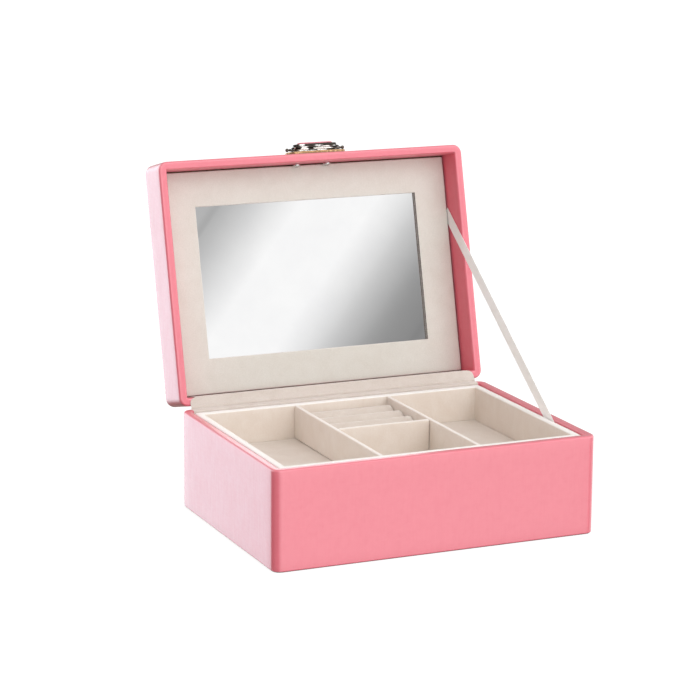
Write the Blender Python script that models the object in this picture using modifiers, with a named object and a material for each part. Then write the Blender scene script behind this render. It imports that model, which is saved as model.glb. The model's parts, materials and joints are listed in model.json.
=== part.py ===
"""Leather jewellery case: a covered board box with a hinged mirror lid and a lift-out tray.

Units are metres and +Z is up. The origin is the centre of the underside, +X runs along the
width and the front faces -Y. The lid stands open; it closes by turning about HINGE_AXIS.
"""

import math

import bmesh
import bpy
from mathutils import Matrix, Vector

MM = 0.001

# Whole case
WIDTH = 260 * MM
DEPTH = 190 * MM
BODY_HEIGHT = 76 * MM
LID_HEIGHT = 35 * MM
CORNER_RADIUS = 7 * MM
GAP = 0.3 * MM

# Wall build-up, from the outside in: leather, board, leather
WALL = 6.5 * MM
SKIN = 0.8 * MM
BOARD = WALL - 2 * SKIN - 2 * GAP
INNER_RADIUS = 0.6 * MM

# Base
UNDERSIDE = 1.0 * MM
BASE_BOARD = 4.0 * MM
FLOOR_PAD = 2.5 * MM
LINER = 3.0 * MM

# Tray
TRAY_CLEARANCE = 1.5 * MM
TRAY_WALL = 6.0 * MM
TRAY_DROP = 1.0 * MM
TRAY_HEIGHT = 30 * MM
TRAY_FLOOR = 3.0 * MM
DIVIDER = 3.5 * MM
DIVIDER_DROP = 0.7 * MM
DIVIDER_X = 39.5 * MM
CROSS_Y = 3.0 * MM
ROLLS = 4
ROLL_HEIGHT = 21.5 * MM

# Lid
LID_ANGLE = math.radians(104)
LID_GAP = 0.8 * MM
LID_BOARD = 4.0 * MM
PANEL_DEPTH = 22 * MM
PANEL = 2.5 * MM
PANEL_CLEARANCE = 1.1 * MM
WINDOW = Vector((189.6, 119.6)) * MM
GLASS = Vector((200.0, 130.0, 2.0)) * MM

# Hinges: P is the pin's axis, just behind and above the back edge
HINGE_AXIS = Vector((0, DEPTH / 2 + 0.9 * MM, BODY_HEIGHT + 1.1 * MM))
HINGE_X = 106 * MM
HINGE_LENGTH = 20 * MM
KNUCKLE = 1.5 * MM
PIN = 0.6 * MM
LEAF = 0.7 * MM
LEAF_RECESS = 1.8 * MM
MIDDLE_KNUCKLE = 3.85 * MM
SCREW_X = 6.0 * MM
SCREW_HEAD = Vector((1.6, 0.5)) * MM
SCREW_LENGTH = 8.0 * MM

# Soft hinge strip and ribbon stay
STRIP = 0.5 * MM
STRIP_REACH = 10 * MM
STRIP_WIDTH = 244 * MM
RIBBON = Vector((10.0, 0.5)) * MM
RIBBON_X = WIDTH / 2 - WALL - 0.5 * MM
RIBBON_LOW = Vector((-29, 76)) * MM
RIBBON_TUCK = 14 * MM
RIBBON_HIGH_S = 133.5 * MM

# Clasp ornament on the lid's front wall, sizes along X and Z
CLASP_X = 8.9 * MM
CLASP_RISE = 17.5 * MM
CLASP_PLATE = Vector((50.5, 17.0, 2.2)) * MM
CLASP_STEPS = (Vector((41.0, 14.0, 3.8)) * MM, Vector((35.0, 10.5, 2.0)) * MM)
CLASP_INSERT = Vector((30.0, 7.0, 1.0)) * MM
BEAD = 1.5 * MM
BEAD_X = 24.0 * MM
BEAD_STANDOFF = 4.6 * MM
BEAD_STEM = 0.7 * MM
CLASP_SCREWS_MIDDLE = 4.9 * MM
CLASP_SCREW_X = 13.0 * MM
CLASP_SCREW = Vector((1.2, 3.0, 2.8)) * MM

# Levels worked out from the sizes above
INSIDE = Vector((WIDTH / 2 - WALL, DEPTH / 2 - WALL))
BOARD_OUT = SKIN + GAP
BOARD_IN = BOARD_OUT + BOARD
BASE_LOW = UNDERSIDE + GAP
BASE_TOP = BASE_LOW + BASE_BOARD
TRAY_TOP = BODY_HEIGHT - TRAY_DROP
TRAY_LOW = TRAY_TOP - TRAY_HEIGHT
TRAY_OUT = INSIDE - Vector((TRAY_CLEARANCE, TRAY_CLEARANCE))
TRAY_IN = TRAY_OUT - Vector((TRAY_WALL, TRAY_WALL))
TRAY_FLOOR_TOP = TRAY_LOW + TRAY_FLOOR
RIM = BODY_HEIGHT + LID_GAP
LID_TOP = RIM + LID_HEIGHT
LID_BOARD_TOP = LID_TOP - SKIN - GAP
LID_BOARD_LOW = LID_BOARD_TOP - LID_BOARD
PANEL_LOW = RIM + PANEL_DEPTH
BACKING_LOW = PANEL_LOW + PANEL + GAP
FLANGE_TOP = BACKING_LOW + GAP

# Finishes: colour, roughness, metallic
LEATHER = ((0.91, 0.30, 0.36, 1), 0.45, 0.0)
VELVET = ((0.72, 0.63, 0.56, 1), 0.95, 0.0)
FIBREBOARD = ((0.45, 0.34, 0.24, 1), 0.85, 0.0)
BLACK_SHEET = ((0.05, 0.05, 0.05, 1), 0.80, 0.0)
MIRROR = ((0.85, 0.87, 0.88, 1), 0.03, 1.0)
BRASS = ((0.75, 0.58, 0.30, 1), 0.25, 1.0)
CHROME = ((0.70, 0.70, 0.72, 1), 0.12, 1.0)
RIBBON_CLOTH = ((0.88, 0.83, 0.72, 1), 0.85, 0.0)

OVERCUT = 5 * MM
ARC_STEPS = 6
ROUND_STEPS = 20
BEAD_STEPS = 8


# ---------------------------------------------------------------- scene helpers

def clear_scene():
    for item in list(bpy.data.objects):
        bpy.data.objects.remove(item)


def new_collection(name):
    collection = bpy.data.collections.new(name)
    bpy.context.scene.collection.children.link(collection)
    return collection


def pivot(name, location, angle=0.0):
    """An empty on a joint's axis, which the pieces of that joint's body hang from."""
    empty = bpy.data.objects.new(name, None)
    empty.location = location
    empty.rotation_euler = (angle, 0, 0)
    empty.empty_display_size = 0.02
    PARTS.objects.link(empty)
    return empty


def paint(item, finish):
    colour, roughness, metallic = finish
    material = bpy.data.materials.new(item.name)
    material.use_nodes = True
    material.diffuse_color = colour
    shader = material.node_tree.nodes["Principled BSDF"]
    shader.inputs["Base Color"].default_value = colour
    shader.inputs["Roughness"].default_value = roughness
    shader.inputs["Metallic"].default_value = metallic
    item.data.materials.clear()
    item.data.materials.append(material)


def add_object(name, mesh, finish=None, parent=None, place=Matrix()):
    """Put a mesh into the scene at a place in closed-case coordinates, hung from its pivot."""
    mesh.name = name
    item = bpy.data.objects.new(name, mesh)
    if finish is None:
        CUTTERS.objects.link(item)
        item.hide_render = True
        item.display_type = "WIRE"
    else:
        PARTS.objects.link(item)
        paint(item, finish)
    if parent is not None:
        item.parent = parent
        place = Matrix.Translation(-parent.location) @ place
    item.matrix_local = place
    return item


def cut(item, cutter, operation="DIFFERENCE"):
    modifier = item.modifiers.new(f"{operation.lower()}_{cutter.name}", "BOOLEAN")
    modifier.operation = operation
    modifier.solver = "EXACT"
    modifier.object = cutter


def smooth(item):
    item.data.shade_smooth()
    item.data.set_sharp_from_angle(angle=math.radians(35))


# ---------------------------------------------------------------- shape helpers

def arc(centre, radius, start, end, steps=ARC_STEPS):
    turns = [start + (end - start) * i / steps for i in range(steps + 1)]
    return [Vector((centre[0] + radius * math.cos(t), centre[1] + radius * math.sin(t))) for t in turns]


def rounded_rectangle(half_x, half_y, radius):
    points = []
    for quarter, (sx, sy) in enumerate(((1, 1), (-1, 1), (-1, -1), (1, -1))):
        centre = (sx * (half_x - radius), sy * (half_y - radius))
        start = quarter * math.pi / 2
        points += arc(centre, radius, start, start + math.pi / 2)
    return points


def end_board_outline(half_x, outer_y, thickness, radius):
    """A front or back board: a plank across the full width whose outer corners are rounded."""
    inner_y = outer_y - thickness
    reach = math.asin(max(0.0, (radius - thickness)) / radius)
    centre_y = outer_y - radius
    right = arc((half_x - radius, centre_y), radius, reach, math.pi / 2)
    left = [Vector((-p.x, p.y)) for p in reversed(right)]
    foot = [] if reach > 0 else [Vector((-half_x, inner_y)), Vector((half_x, inner_y))]
    return right + left + foot


def flipped(points):
    return [Vector((p.x, -p.y)) for p in points]


def prism_mesh(loops, low, high):
    """A flat outline, with any holes as further loops, filled and given its height along Z."""
    curve = bpy.data.curves.new("outline", "CURVE")
    curve.dimensions = "2D"
    curve.fill_mode = "BOTH"
    curve.extrude = (high - low) / 2
    for loop in loops:
        spline = curve.splines.new("POLY")
        spline.points.add(len(loop) - 1)
        for point, place in zip(spline.points, loop):
            point.co = (place[0], place[1], 0, 1)
        spline.use_cyclic_u = True
    holder = bpy.data.objects.new("outline", curve)
    bpy.context.scene.collection.objects.link(holder)
    depsgraph = bpy.context.evaluated_depsgraph_get()
    mesh = bpy.data.meshes.new_from_object(holder.evaluated_get(depsgraph))
    bpy.data.objects.remove(holder)
    bpy.data.curves.remove(curve)
    bm = bmesh.new()
    bm.from_mesh(mesh)
    bmesh.ops.remove_doubles(bm, verts=bm.verts, dist=0.01 * MM)
    bmesh.ops.recalc_face_normals(bm, faces=bm.faces)
    bmesh.ops.translate(bm, verts=bm.verts, vec=(0, 0, (low + high) / 2))
    bm.to_mesh(mesh)
    bm.free()
    return mesh


def prism(name, loops, low, high, finish=None, parent=None):
    return add_object(name, prism_mesh(loops, low, high), finish, parent)


def block(name, low, high, finish=None, parent=None):
    """A box between two corners."""
    low, high = Vector(low), Vector(high)
    bm = bmesh.new()
    bmesh.ops.create_cube(bm, size=1.0)
    bmesh.ops.scale(bm, verts=bm.verts, vec=high - low)
    bmesh.ops.translate(bm, verts=bm.verts, vec=(low + high) / 2)
    mesh = bpy.data.meshes.new(name)
    bm.to_mesh(mesh)
    bm.free()
    return add_object(name, mesh, finish, parent)


def add_rod(bm, start, end, radius, steps=ROUND_STEPS):
    """Add a closed round rod between two points to a bmesh."""
    start, end = Vector(start), Vector(end)
    along = end - start
    turn = Vector((0, 0, 1)).rotation_difference(along).to_matrix().to_4x4()
    place = Matrix.Translation((start + end) / 2) @ turn
    bmesh.ops.create_cone(
        bm, cap_ends=True, segments=steps, radius1=radius, radius2=radius,
        depth=along.length, matrix=place,
    )


def rods(name, runs, finish=None, parent=None, steps=ROUND_STEPS):
    """Separate round rods in one node; each run is (start, end, radius)."""
    bm = bmesh.new()
    for start, end, radius in runs:
        add_rod(bm, start, end, radius, steps)
    mesh = bpy.data.meshes.new(name)
    bm.to_mesh(mesh)
    bm.free()
    item = add_object(name, mesh, finish, parent)
    smooth(item)
    return item


def turned(name, profile, place, finish, parent=None, steps=14):
    """A round piece: a profile of (radius, height) from its top to its foot, turned about Z."""
    mesh = bpy.data.meshes.new(name)
    points = [(radius, 0, height) for radius, height in profile]
    mesh.from_pydata(points, [(i, i + 1) for i in range(len(points) - 1)], [])
    item = add_object(name, mesh, finish, parent, place)
    screw = item.modifiers.new("turn", "SCREW")
    screw.steps = screw.render_steps = steps
    screw.use_merge_vertices = True
    screw.merge_threshold = 0.01 * MM
    screw.use_smooth_shade = True
    return item


def screw_profile(head_radius, head_height, shank_radius, shank_length):
    """A flat-headed screw; height 0 is the underside of its head."""
    return [(0, head_height), (head_radius, head_height), (head_radius, 0),
            (shank_radius, 0), (shank_radius, -shank_length), (0, -shank_length)]


def oval(half_x, half_z, steps=32):
    """A long oval with full round ends."""
    straight = half_x - half_z
    right = arc((straight, 0), half_z, -math.pi / 2, math.pi / 2, steps // 2)
    left = arc((-straight, 0), half_z, math.pi / 2, 3 * math.pi / 2, steps // 2)
    return right + left


# ---------------------------------------------------------------- walls shared by body and lid

def wall_boards(prefix, low, high, parent=None):
    """Four boards: front and back run the full width, the sides fit between them."""
    radius = CORNER_RADIUS - BOARD_OUT
    half_x = WIDTH / 2 - BOARD_OUT
    outer_y = DEPTH / 2 - BOARD_OUT
    outline = end_board_outline(half_x, outer_y, BOARD, radius)
    side_y = DEPTH / 2 - BOARD_IN - GAP
    side_x = WIDTH / 2 - BOARD_IN
    return {
        "back": prism(f"{prefix}_back_board", [outline], low, high, FIBREBOARD, parent),
        "front": prism(f"{prefix}_front_board", [flipped(outline)], low, high, FIBREBOARD, parent),
        "left": block(f"{prefix}_left_board", (-half_x, -side_y, low), (-side_x, side_y, high),
                      FIBREBOARD, parent),
        "right": block(f"{prefix}_right_board", (side_x, -side_y, low), (half_x, side_y, high),
                       FIBREBOARD, parent),
    }


def outline_inset(inset, radius):
    return rounded_rectangle(WIDTH / 2 - inset, DEPTH / 2 - inset, radius)


def hinge_centres():
    return (-HINGE_X, HINGE_X)


def screw_places():
    return [side + step for side in hinge_centres() for step in (-SCREW_X, SCREW_X)]


def hinge_notches(name, front, low, high, parent=None):
    """Rim notches at both hinges, open behind, that take the leaves or the knuckles."""
    half = HINGE_LENGTH / 2 + 0.4 * MM
    behind = HINGE_AXIS.y + OVERCUT
    return [block(f"{name}_{index}", (x - half, front, low), (x + half, behind, high), parent=parent)
            for index, x in enumerate(hinge_centres())]


def pilot_holes(name, low, high, parent=None):
    y = DEPTH / 2 - WALL / 2
    return rods(name, [((x, y, low), (x, y, high), PIN + GAP) for x in screw_places()],
                parent=parent, steps=12)


# ---------------------------------------------------------------- body

def build_body():
    boards = wall_boards("body", BASE_LOW, BODY_HEIGHT - BOARD_OUT)
    cover = prism("body_cover", [outline_inset(0, CORNER_RADIUS), outline_inset(WALL, INNER_RADIUS)],
                  GAP, BODY_HEIGHT, LEATHER)
    ring = [outline_inset(SKIN, CORNER_RADIUS - SKIN), outline_inset(WALL - SKIN, INNER_RADIUS + SKIN)]
    pocket = prism("body_board_pocket", ring, -OVERCUT, BODY_HEIGHT - SKIN)
    mouth = prism("body_base_mouth", [outline_inset(WALL / 2, CORNER_RADIUS / 2)],
                  -OVERCUT, BASE_TOP + GAP)
    cut(cover, pocket)
    cut(cover, mouth)
    notch_low = BODY_HEIGHT - LEAF_RECESS
    high = BODY_HEIGHT + OVERCUT
    for notch in hinge_notches("body_hinge_notch", DEPTH / 2 - WALL - OVERCUT, notch_low, high):
        cut(cover, notch)
        cut(boards["back"], notch)
    cut(boards["back"], pilot_holes("body_pilot_holes", notch_low - SCREW_LENGTH - OVERCUT, high))
    block("bottom_board", (-WIDTH / 2 + BOARD_IN + GAP, -DEPTH / 2 + BOARD_IN + GAP, BASE_LOW),
          (WIDTH / 2 - BOARD_IN - GAP, DEPTH / 2 - BOARD_IN - GAP, BASE_TOP), FIBREBOARD)
    prism("underside_sheet", [outline_inset(BOARD_OUT, CORNER_RADIUS - BOARD_OUT)], 0, UNDERSIDE, BLACK_SHEET)


def build_lower_well():
    """The lined well under the tray; the liner walls carry the tray."""
    low = BASE_TOP + GAP
    high = TRAY_LOW - GAP
    out_x, out_y = INSIDE.x - GAP, INSIDE.y - GAP
    in_x, in_y = out_x - LINER, out_y - LINER
    side_y = in_y - GAP
    block("well_back_liner", (-out_x, in_y, low), (out_x, out_y, high), VELVET)
    block("well_front_liner", (-out_x, -out_y, low), (out_x, -in_y, high), VELVET)
    block("well_left_liner", (-out_x, -side_y, low), (-in_x, side_y, high), VELVET)
    block("well_right_liner", (in_x, -side_y, low), (out_x, side_y, high), VELVET)
    block("well_floor_pad", (-in_x + GAP, -side_y, low), (in_x - GAP, side_y, low + FLOOR_PAD), VELVET)


# ---------------------------------------------------------------- tray

def build_tray():
    parent = pivot("tray_pivot", (0, 0, TRAY_LOW))
    out_x, out_y = TRAY_OUT
    in_x, in_y = TRAY_IN
    side_y = in_y - GAP
    corner = 2 * MM
    outline = (arc((out_x - corner, out_y - corner), corner, 0, math.pi / 2)
               + arc((-out_x + corner, out_y - corner), corner, math.pi / 2, math.pi)
               + [Vector((-out_x, in_y)), Vector((out_x, in_y))])
    prism("tray_back_wall", [outline], TRAY_LOW, TRAY_TOP, VELVET, parent)
    prism("tray_front_wall", [flipped(outline)], TRAY_LOW, TRAY_TOP, VELVET, parent)
    block("tray_left_wall", (-out_x, -side_y, TRAY_LOW), (-in_x, side_y, TRAY_TOP), VELVET, parent)
    block("tray_right_wall", (in_x, -side_y, TRAY_LOW), (out_x, side_y, TRAY_TOP), VELVET, parent)
    block("tray_floor", (-in_x + GAP, -side_y, TRAY_LOW), (in_x - GAP, side_y, TRAY_FLOOR_TOP),
          VELVET, parent)
    low, high = TRAY_FLOOR_TOP + GAP, TRAY_TOP - DIVIDER_DROP
    for side, x in (("left", -DIVIDER_X), ("right", DIVIDER_X)):
        block(f"{side}_divider", (x - DIVIDER / 2, -side_y, low), (x + DIVIDER / 2, side_y, high),
              VELVET, parent)
    bay_x = DIVIDER_X - DIVIDER / 2 - GAP
    block("cross_divider", (-bay_x, CROSS_Y - DIVIDER / 2, low), (bay_x, CROSS_Y + DIVIDER / 2, high),
          VELVET, parent)
    build_ring_rolls(parent, bay_x, CROSS_Y + DIVIDER / 2 + GAP, side_y, low)


def build_ring_rolls(parent, half_length, front, back, low):
    pitch = (back - front) / ROLLS
    width = pitch - GAP
    for index in range(ROLLS):
        y = front + pitch * (index + 0.5)
        bm = bmesh.new()
        add_rod(bm, (-half_length, 0, 0), (half_length, 0, 0), 0.5)
        bmesh.ops.scale(bm, verts=bm.verts, vec=(1, width, ROLL_HEIGHT))
        bmesh.ops.translate(bm, verts=bm.verts, vec=(0, y, low + ROLL_HEIGHT / 2))
        mesh = bpy.data.meshes.new("ring_roll")
        bm.to_mesh(mesh)
        bm.free()
        smooth(add_object(f"ring_roll_{index + 1}", mesh, VELVET, parent))


# ---------------------------------------------------------------- lid, drawn closed and turned open

def build_lid(parent):
    boards = wall_boards("lid", RIM + BOARD_OUT, LID_BOARD_LOW - GAP, parent)
    cover = prism("lid_cover", [outline_inset(0, CORNER_RADIUS)], RIM, LID_TOP, LEATHER, parent)
    ring = [outline_inset(SKIN, CORNER_RADIUS - SKIN), outline_inset(WALL - SKIN, INNER_RADIUS + SKIN)]
    cut(cover, prism("lid_board_pocket", ring, RIM + SKIN, FLANGE_TOP, parent=parent))
    cut(cover, prism("lid_top_pocket", [ring[0]], FLANGE_TOP - GAP, LID_TOP - SKIN, parent=parent))
    mouth = prism("lid_mouth", [outline_inset(WALL, INNER_RADIUS)], RIM - OVERCUT, FLANGE_TOP, parent=parent)
    cut(cover, mouth)
    notch_high = RIM + LEAF_RECESS
    knuckle_high = HINGE_AXIS.z + KNUCKLE + 1.5 * GAP
    knuckle_front = HINGE_AXIS.y - KNUCKLE - 2 * GAP
    notches = hinge_notches("lid_leaf_notch", DEPTH / 2 - WALL - OVERCUT, RIM - OVERCUT, notch_high, parent)
    notches += hinge_notches("lid_knuckle_notch", knuckle_front, RIM - MM, knuckle_high, parent)
    for notch in notches:
        cut(cover, notch)
        cut(boards["back"], notch)
    cut(boards["back"], pilot_holes("lid_pilot_holes", RIM, notch_high + SCREW_LENGTH + OVERCUT, parent))
    prism("lid_top_board", [outline_inset(BOARD_OUT, CORNER_RADIUS - BOARD_OUT)],
          LID_BOARD_LOW, LID_BOARD_TOP, FIBREBOARD, parent)
    screw_z = RIM + CLASP_RISE
    screw_holes = rods("clasp_screw_holes", [
        ((x, -DEPTH / 2 - OVERCUT, screw_z), (x, -DEPTH / 2 + WALL + OVERCUT, screw_z), CLASP_SCREW.x + GAP)
        for x in (CLASP_SCREWS_MIDDLE - CLASP_SCREW_X, CLASP_SCREWS_MIDDLE + CLASP_SCREW_X)], parent=parent)
    cut(cover, screw_holes)
    cut(boards["front"], screw_holes)


def build_mirror(parent):
    half_x = INSIDE.x - PANEL_CLEARANCE
    half_y = INSIDE.y - PANEL_CLEARANCE
    edge = rounded_rectangle(half_x, half_y, MM)
    window = rounded_rectangle(WINDOW.x / 2, WINDOW.y / 2, MM)
    prism("mirror_panel", [edge, window], PANEL_LOW, PANEL_LOW + PANEL, VELVET, parent)
    glass_x, glass_y = GLASS.x / 2, GLASS.y / 2
    glass_top = BACKING_LOW + GLASS.z
    pocket = rounded_rectangle(glass_x + GAP, glass_y + GAP, GAP)
    prism("mirror_surround", [edge, pocket], BACKING_LOW, glass_top, FIBREBOARD, parent)
    prism("mirror_backing", [edge], glass_top + GAP, LID_BOARD_LOW - GAP, FIBREBOARD, parent)
    block("mirror_glass", (-glass_x, -glass_y, BACKING_LOW), (glass_x, glass_y, glass_top), MIRROR, parent)


# ---------------------------------------------------------------- hinges

def knuckle(name, x, start, end, radius, finish=None, parent=None, steps=ROUND_STEPS):
    """A rod along the hinge axis over a stretch measured from one hinge's centre."""
    y, z = HINGE_AXIS.y, HINGE_AXIS.z
    return rods(name, [((x + start, y, z), (x + end, y, z), radius)], finish, parent, steps)


def hinge_leaf(name, x, low, web_high, stretches, parent=None):
    """A flat plate whose webs rise to its knuckles, bored for the pin and the screws."""
    half = HINGE_LENGTH / 2
    front, back = DEPTH / 2 - WALL + 0.4 * MM, DEPTH / 2 - 0.6 * MM
    leaf = block(name, (x - half, front, low), (x + half, back, low + LEAF), BRASS, parent)
    for index, (start, end) in enumerate(stretches):
        cut(leaf, knuckle(f"{name}_knuckle_{index}", x, start, end, KNUCKLE, parent=parent), "UNION")
        cut(leaf, block(f"{name}_web_{index}", (x + start, back - LEAF, low),
                        (x + end, HINGE_AXIS.y, web_high), parent=parent), "UNION")
    cut(leaf, knuckle(f"{name}_bore", x, -half - OVERCUT, half + OVERCUT, PIN + GAP, parent=parent))
    cut(leaf, pilot_holes(f"{name}_screw_holes", low - OVERCUT, low + OVERCUT, parent))


def hinge_screws(name, x, leaf_face, faces_up, parent=None):
    """Two flat-headed screws through a leaf, their heads on its open face."""
    radius, height = SCREW_HEAD
    lift = 0.2 * MM if faces_up else -0.2 * MM
    turn = Matrix() if faces_up else Matrix.Rotation(math.pi, 4, "X")
    profile = screw_profile(radius, height, PIN, SCREW_LENGTH)
    for index, step in enumerate((-SCREW_X, SCREW_X)):
        place = Matrix.Translation((x + step, DEPTH / 2 - WALL / 2, leaf_face + lift)) @ turn
        turned(f"{name}_{index + 1}", profile, place, BRASS, parent)


def build_hinges(lid_parent):
    half = HINGE_LENGTH / 2
    outer = MIDDLE_KNUCKLE + GAP
    body_leaf = BODY_HEIGHT - LEAF_RECESS + GAP
    lid_leaf = RIM + LEAF_RECESS - GAP - LEAF
    for side, x in zip(("left", "right"), hinge_centres()):
        hinge_leaf(f"{side}_hinge_lower_leaf", x, body_leaf, BODY_HEIGHT,
                   ((-half, -outer), (outer, half)))
        hinge_leaf(f"{side}_hinge_upper_leaf", x, lid_leaf, lid_leaf + LEAF,
                   ((-MIDDLE_KNUCKLE, MIDDLE_KNUCKLE),), lid_parent)
        hinge_screws(f"{side}_hinge_lower_screw", x, body_leaf + LEAF, True)
        hinge_screws(f"{side}_hinge_upper_screw", x, lid_leaf, False, lid_parent)
        knuckle(f"{side}_hinge_pin", x, -half, half, PIN, BRASS, steps=12)


# ---------------------------------------------------------------- soft strip and ribbon

def opened(s, t):
    """Y and Z of a point of the open lid: s from its back edge to its front, t in from the rim."""
    closed = Vector((0, DEPTH / 2 - s, RIM + t)) - HINGE_AXIS
    turned = HINGE_AXIS + Matrix.Rotation(-LID_ANGLE, 3, "X") @ closed
    return Vector((turned.y, turned.z))


def strip_profile():
    """From the mirror panel, over the lid's back rim and the hinges, to below the tray's edge."""
    clear = GAP + STRIP / 2
    bend = KNUCKLE + 1.5 * GAP + STRIP
    pin = Vector((HINGE_AXIS.y, HINGE_AXIS.z))
    panel = opened(WALL + clear, PANEL_DEPTH - MM)
    lid_edge = opened(WALL + clear, -clear)
    lid_run = opened(3.2 * MM, -clear)
    over_pins = arc(pin, bend, math.radians(112), math.radians(196))
    body_run = Vector((DEPTH / 2 - 3.2 * MM, BODY_HEIGHT + clear))
    body_edge = Vector((INSIDE.y - clear, BODY_HEIGHT + clear))
    end = Vector((INSIDE.y - clear, BODY_HEIGHT - STRIP_REACH))
    return [panel, lid_edge, lid_run] + over_pins + [body_run, body_edge, end]


def build_hinge_strip():
    bm = bmesh.new()
    half = STRIP_WIDTH / 2
    rows = [(bm.verts.new((-half, p.x, p.y)), bm.verts.new((half, p.x, p.y))) for p in strip_profile()]
    for (a, b), (c, d) in zip(rows, rows[1:]):
        bm.faces.new((a, c, d, b))
    mesh = bpy.data.meshes.new("hinge_strip")
    bm.to_mesh(mesh)
    bm.free()
    strip = add_object("hinge_strip", mesh, VELVET)
    shell = strip.modifiers.new("thickness", "SOLIDIFY")
    shell.thickness = STRIP
    shell.offset = 0


def build_ribbon():
    """A flat ribbon beside the right wall, glued inside the body and behind the mirror panel."""
    high = opened(RIBBON_HIGH_S, PANEL_DEPTH)
    along = (high - RIBBON_LOW).normalized()
    across = Vector((-along.y, along.x)) * RIBBON.x / 2
    start = RIBBON_LOW - along * RIBBON_TUCK
    end = high + along * 5 * MM
    outline = [start - across, end - across, end + across, start + across]
    mesh = prism_mesh([outline], -RIBBON.y / 2, RIBBON.y / 2)
    stand_up = Matrix(((0, 0, 1, 0), (1, 0, 0, 0), (0, 1, 0, 0), (0, 0, 0, 1)))
    mesh.transform(Matrix.Translation((RIBBON_X, 0, 0)) @ stand_up)
    add_object("ribbon_stay", mesh, RIBBON_CLOTH)


# ---------------------------------------------------------------- clasp ornament

def clasp_place(x, y, turn):
    """A place at the clasp's height on the lid's front, turned from the Z axis."""
    return Matrix.Translation((x, y, RIM + CLASP_RISE)) @ turn


def clasp_layer(name, size, start, finish=None, parent=None):
    """An oval slab on the lid's front; start is its distance in front of the wall."""
    mesh = prism_mesh([oval(size.x / 2, size.y / 2)], start, start + size.z)
    facing = Matrix(((1, 0, 0, CLASP_X), (0, 0, -1, -DEPTH / 2),
                     (0, 1, 0, RIM + CLASP_RISE), (0, 0, 0, 1)))
    mesh.transform(facing)
    item = add_object(name, mesh, finish, parent)
    smooth(item)
    return item


def build_clasp(parent):
    clasp_layer("clasp_plate", CLASP_PLATE, GAP, BRASS, parent)
    start = CLASP_PLATE.z + 2 * GAP
    body = clasp_layer("clasp_body", CLASP_STEPS[0], start, CHROME, parent)
    start += CLASP_STEPS[0].z
    cap = CLASP_STEPS[1].copy()
    cap.z += MM
    cut(body, clasp_layer("clasp_upper_step", cap, start - MM, parent=parent), "UNION")
    start += CLASP_STEPS[1].z + GAP
    clasp_layer("clasp_insert", CLASP_INSERT, start, LEATHER, parent)
    stem = BEAD_X - CLASP_STEPS[0].x / 2 - GAP
    neck = math.acos(BEAD_STEM / BEAD)
    turns = (neck - (neck + math.pi / 2) * i / BEAD_STEPS for i in range(BEAD_STEPS))
    bead = [(0, stem), (BEAD_STEM, stem)]
    bead += [(BEAD * math.cos(t), BEAD * math.sin(t)) for t in turns] + [(0, -BEAD)]
    shank, head, thickness = CLASP_SCREW
    profile = screw_profile(head, thickness, shank, WALL + GAP)
    inwards = Matrix.Rotation(-math.pi / 2, 4, "X")
    for side, sign in (("left", -1), ("right", 1)):
        to_middle = Matrix.Rotation(-sign * math.pi / 2, 4, "Y")
        turned(f"clasp_{side}_bead", bead,
               clasp_place(CLASP_X + sign * BEAD_X, -DEPTH / 2 - BEAD_STANDOFF, to_middle), CHROME, parent)
        turned(f"clasp_{side}_screw", profile,
               clasp_place(CLASP_SCREWS_MIDDLE + sign * CLASP_SCREW_X, -DEPTH / 2 + WALL + GAP, inwards),
               CHROME, parent)


# ---------------------------------------------------------------- assembly

clear_scene()
PARTS = new_collection("jewellery_case")
CUTTERS = new_collection("cutters")
lid_pivot = pivot("lid_pivot", HINGE_AXIS, -LID_ANGLE)

build_body()
build_lower_well()
build_tray()
build_lid(lid_pivot)
build_mirror(lid_pivot)
build_hinges(lid_pivot)
build_hinge_strip()
build_ribbon()
build_clasp(lid_pivot)
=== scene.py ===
"""A leather jewellery case with a mirror lid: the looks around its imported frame."""
import json
import math

import bmesh
import bpy
from mathutils import Matrix, Vector, noise


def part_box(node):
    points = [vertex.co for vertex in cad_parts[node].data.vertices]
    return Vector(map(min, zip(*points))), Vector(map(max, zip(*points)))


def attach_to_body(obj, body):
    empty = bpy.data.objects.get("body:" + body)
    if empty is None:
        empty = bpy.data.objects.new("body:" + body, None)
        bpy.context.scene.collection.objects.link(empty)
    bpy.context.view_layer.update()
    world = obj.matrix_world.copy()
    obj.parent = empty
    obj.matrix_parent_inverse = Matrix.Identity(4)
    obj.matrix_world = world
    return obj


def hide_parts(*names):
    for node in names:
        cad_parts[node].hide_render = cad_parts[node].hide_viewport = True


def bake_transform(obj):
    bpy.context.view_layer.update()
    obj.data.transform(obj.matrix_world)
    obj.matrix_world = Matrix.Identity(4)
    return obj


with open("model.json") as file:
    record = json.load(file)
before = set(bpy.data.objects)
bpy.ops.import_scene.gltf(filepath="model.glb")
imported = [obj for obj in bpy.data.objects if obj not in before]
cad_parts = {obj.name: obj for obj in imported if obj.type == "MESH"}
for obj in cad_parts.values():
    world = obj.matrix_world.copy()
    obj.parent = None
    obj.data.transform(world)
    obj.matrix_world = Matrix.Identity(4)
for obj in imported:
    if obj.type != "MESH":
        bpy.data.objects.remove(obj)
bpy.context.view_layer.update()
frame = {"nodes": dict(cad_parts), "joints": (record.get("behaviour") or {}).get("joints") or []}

MM = 0.001

# ---------------------------------------------------------------- driving values, from the frame

HINGE = next(j for j in frame["joints"] if j["name"] == "lid_hinge")
PIVOT = Vector(HINGE["pos_m"])
OPEN_ANGLE = math.radians(HINGE["range_deg"][1])
TO_OPEN = (Matrix.Translation(PIVOT) @ Matrix.Rotation(-OPEN_ANGLE, 4, "X")
           @ Matrix.Translation(-PIVOT))
TO_CLOSED = TO_OPEN.inverted()


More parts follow.
